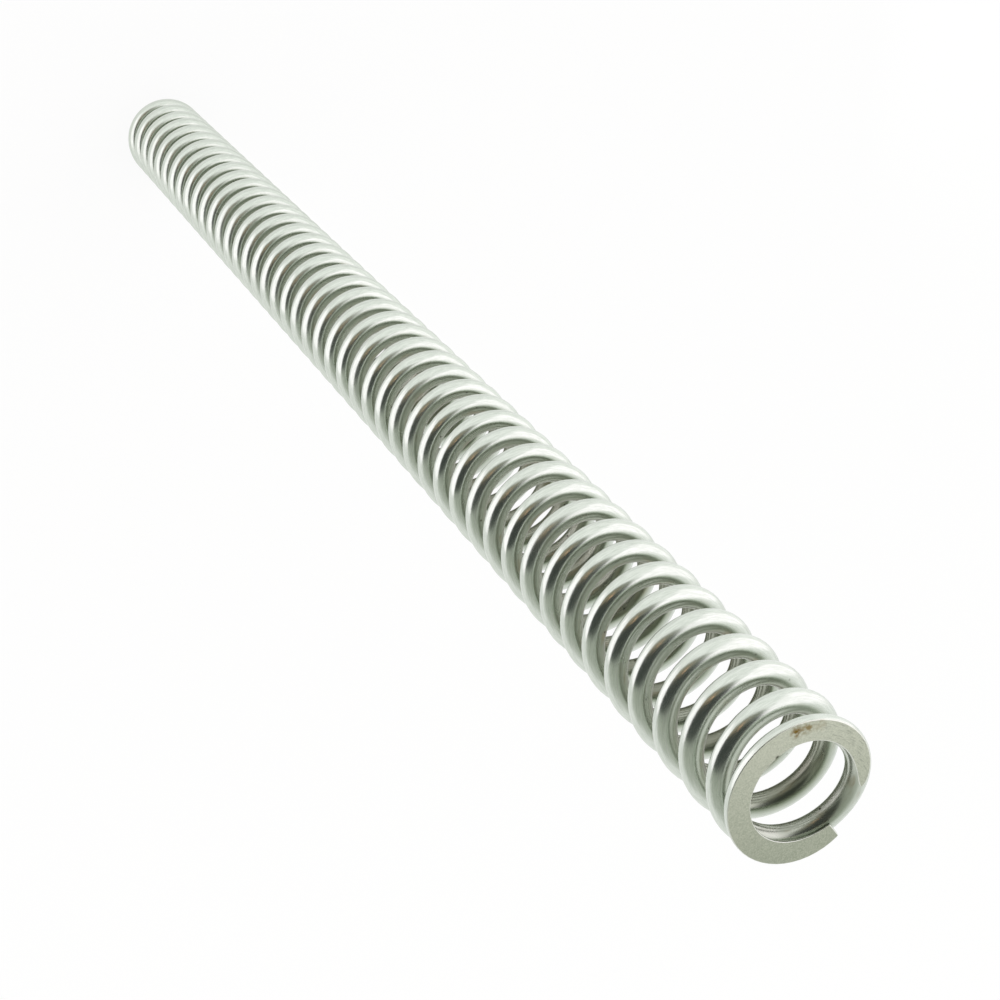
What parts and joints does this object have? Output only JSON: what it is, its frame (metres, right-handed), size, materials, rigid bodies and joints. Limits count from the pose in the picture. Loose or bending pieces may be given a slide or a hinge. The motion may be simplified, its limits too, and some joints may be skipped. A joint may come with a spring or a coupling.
{
  "type": "fork spring",
  "caption": "Long slim compression spring of round steel wire, wound right-hand, with closed ends ground flat.",
  "frame": {"origin": "on the coil's axis, in the plane of the bottom ground end", "axes": "+Z along the coil's axis towards the top ground end, +X through the bottom tip of the wire"},
  "size_m": [0.032, 0.032, 0.494],
  "materials": {
    "spring_steel": "bright drawn spring wire, with matte ground ends and a few rust specks"
  },
  "bodies": {
    "root": {"spring": "spring_steel"}
  },
  "joints": []
}
